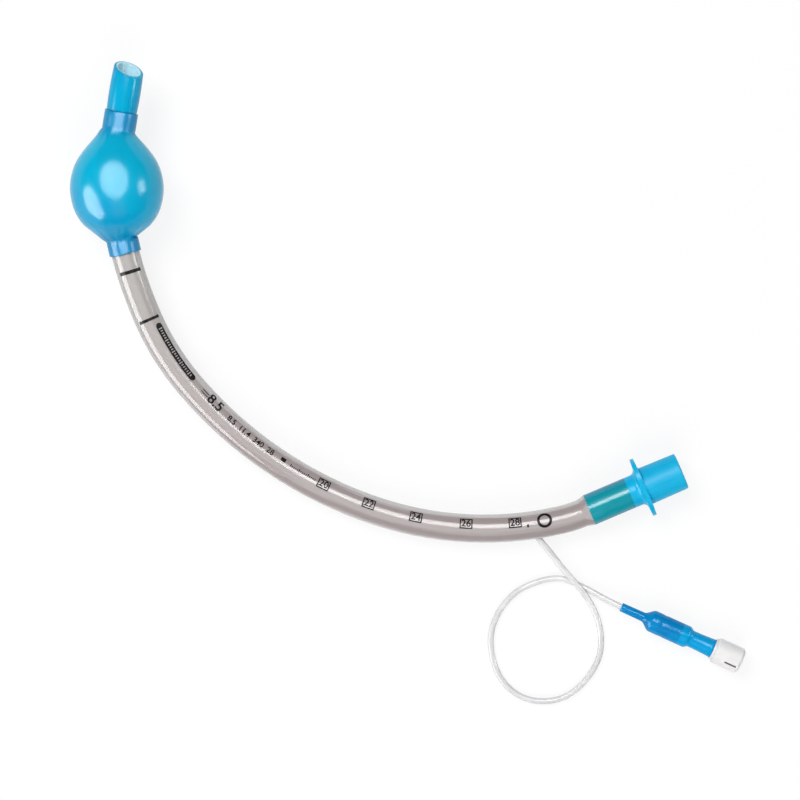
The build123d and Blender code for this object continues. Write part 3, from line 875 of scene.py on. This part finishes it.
def makePrints():
    ink = inkMaterial("printInk", inkLook["ink"])
    gap = inkMaterial("barMarks", inkLook["gap"])
    for index, (distance, low, high, width) in enumerate(printSet["rings"]):
        barPrint("ringMark%d" % index, [(0, -(low + high) / 2, width, high - low)], distance, 0.0, ink)
    makeRuledBar(ink, gap)
    (long, tall), line = printSet["figureBox"], printSet["frameLine"]
    for index, (text, distance) in enumerate(printSet["figures"]):
        bm = bmesh.new()
        flatFigures(bm, text, printSet["figureHeight"])
        for side in (-1, 1):
            flatBar(bm, 0, side * tall / 2, long + line, line)
            flatBar(bm, side * long / 2, 0, line, tall - line)
        layPrint("depthMark%d" % index, bm, distance, printSet["figureAcross"], ink)
    for index, (text, distance, across, height) in enumerate(printSet["sizes"]):
        bm = bmesh.new()
        flatFigures(bm, text, height)
        layPrint("sizeFigures%d" % index, bm, distance, across, ink)
    distance, across, length, width, step = printSet["twoLines"]
    barPrint("twoLines", [(0, side * step / 2, length, width) for side in (-1, 1)], distance, across, ink)
    for index, (distance, across, length, width) in enumerate(printSet["blocks"]):
        barPrint("blockMark%d" % index, [(0, 0, length, width)], distance, across, ink)
    distance, across, count, step, width, height = printSet["fineMarks"]
    bars = []
    for index in range(count):
        tall = height * (printSet["fineShort"] if index % printSet["longEvery"] else 1.0)
        bars.append(((index - (count - 1) / 2) * step, (tall - height) / 2, width, tall))
    barPrint("fineMarks", bars, distance, across, ink)
    distance, across, radius, width = printSet["target"]
    bm = bmesh.new()
    bmesh.ops.create_circle(bm, segments=printSet["targetSides"], radius=radius - width)
    made = bmesh.ops.extrude_edge_only(bm, edges=list(bm.edges))["geom"]
    outer = [item for item in made if isinstance(item, bmesh.types.BMVert)]
    bmesh.ops.scale(bm, vec=(radius / (radius - width),) * 2 + (1,), verts=outer)
    layPrint("ringPrint", bm, distance, across, ink)


makePrints()
print("prints")

# Floor and light
studioSet = {
    "floorSize": 6.0, "floorDrop": 0.0001, "shadowShare": 0.16, "worldStrength": 0.35,
    "floorColours": ((0.84, 0.84, 0.84), (0.86, 0.86, 0.86)), "floorCloud": 8.0, "floorRange": (0.3, 0.7),
    "floorRoughness": 0.8, "floorGloss": 0.1, "lampAim": (0, -0.04, 0),
    "key": {"place": (-0.5, 0.55, 1.3), "size": (0.9, 0.9), "power": 16.0},
    "fill": {"place": (0.05, -0.95, 0.9), "size": (0.9, 0.9), "power": 8.0},
    "topGloss": {"place": (0.08, 0.40, 1.25), "size": (0.75, 0.75), "power": 23.0},
    "cuffGloss": {"place": (-0.10, 0.28, 1.25), "size": (1.65, 2.0), "power": 95.0},
    "leftGloss": {"place": (-1.08, -0.55, 0.46), "size": (1.5, 0.85), "power": 44.0},
    "rightGloss": {"place": (0.95, 0.05, 0.42), "size": (0.5, 0.4), "power": 6.0},
}


def makeFloor():
    bm = bmesh.new()
    bmesh.ops.create_grid(bm, x_segments=1, y_segments=1, size=studioSet["floorSize"] / 2)
    mesh = bpy.data.meshes.new("floor")
    bm.to_mesh(mesh)
    bm.free()
    floor = bpy.data.objects.new("floor", mesh)
    scene.collection.objects.link(floor)
    floor.location = (0, 0, -studioSet["floorDrop"])
    material, shade, place = newMaterial("paleFloor")
    rays = shade.make("LightPath").socket.node.outputs
    seen, glossy, through = (Shade(shade.tree, rays["Is %s Ray" % kind])
                             for kind in ("Camera", "Glossy", "Transmission"))
    share = (seen + glossy + through).lesser(1.0) * (1 - studioSet["shadowShare"])
    cloud = shade.noise(place, studioSet["floorCloud"]).smoothStep(*studioSet["floorRange"])
    matt = principled(shade, {
        "Base Color": cloud.mixColour(*studioSet["floorColours"]),
        "Roughness": studioSet["floorRoughness"], "Specular IOR Level": studioSet["floorGloss"],
    })
    bright = shade.make("Emission", {}, {"Color": (1, 1, 1, 1), "Strength": 1.0})
    finishMaterial(shade, shade.make("MixShader", {}, {0: share, 1: matt, 2: bright}))
    floor.data.materials.append(material)
    return floor


def makeWorld():
    world = bpy.data.worlds.new("studio")
    scene.world = world
    world.cycles_visibility.glossy = False  # only the lamps and the floor show in the gloss
    world.use_nodes = True
    world.node_tree.nodes.clear()
    shade = Shade(world.node_tree)
    background = shade.make("Background", {}, {"Color": (1, 1, 1, 1), "Strength": studioSet["worldStrength"]})
    output = world.node_tree.nodes.new("ShaderNodeOutputWorld")
    world.node_tree.links.new(background.socket, output.inputs["Surface"])


def makeLamp(name, glossOnly=False, pieces=None):
    chosen = studioSet[name]
    lamp = bpy.data.lights.new(name, "AREA")
    lamp.shape = "ELLIPSE"
    lamp.size, lamp.size_y = chosen["size"]
    lamp.energy = chosen["power"]
    holder = bpy.data.objects.new(name, lamp)
    scene.collection.objects.link(holder)
    holder.location = chosen["place"]
    aim = Vector(studioSet["lampAim"]) - Vector(chosen["place"])
    holder.rotation_euler = aim.to_track_quat("-Z", "Y").to_euler()
    # Some lamps only light the object, and the others only show in its gloss
    holder.visible_glossy = glossOnly
    holder.visible_diffuse = not glossOnly
    holder.visible_transmission = not glossOnly
    if pieces:  # a lamp for these pieces alone
        lit = bpy.data.collections.new(name)
        for piece in pieces:
            lit.objects.link(piece)
        holder.light_linking.receiver_collection = lit


floorPiece = makeFloor()
makeWorld()
makeLamp("key")
makeLamp("fill")
makeLamp("leftGloss", glossOnly=True)
makeLamp("rightGloss", glossOnly=True)
makeLamp("cuffGloss", glossOnly=True, pieces=[cuffPiece])
makeLamp("topGloss", glossOnly=True, pieces=[
    item for item in scene.objects if item.type in {"MESH", "CURVE"} and item not in (cuffPiece, floorPiece)])
print("floor and light")
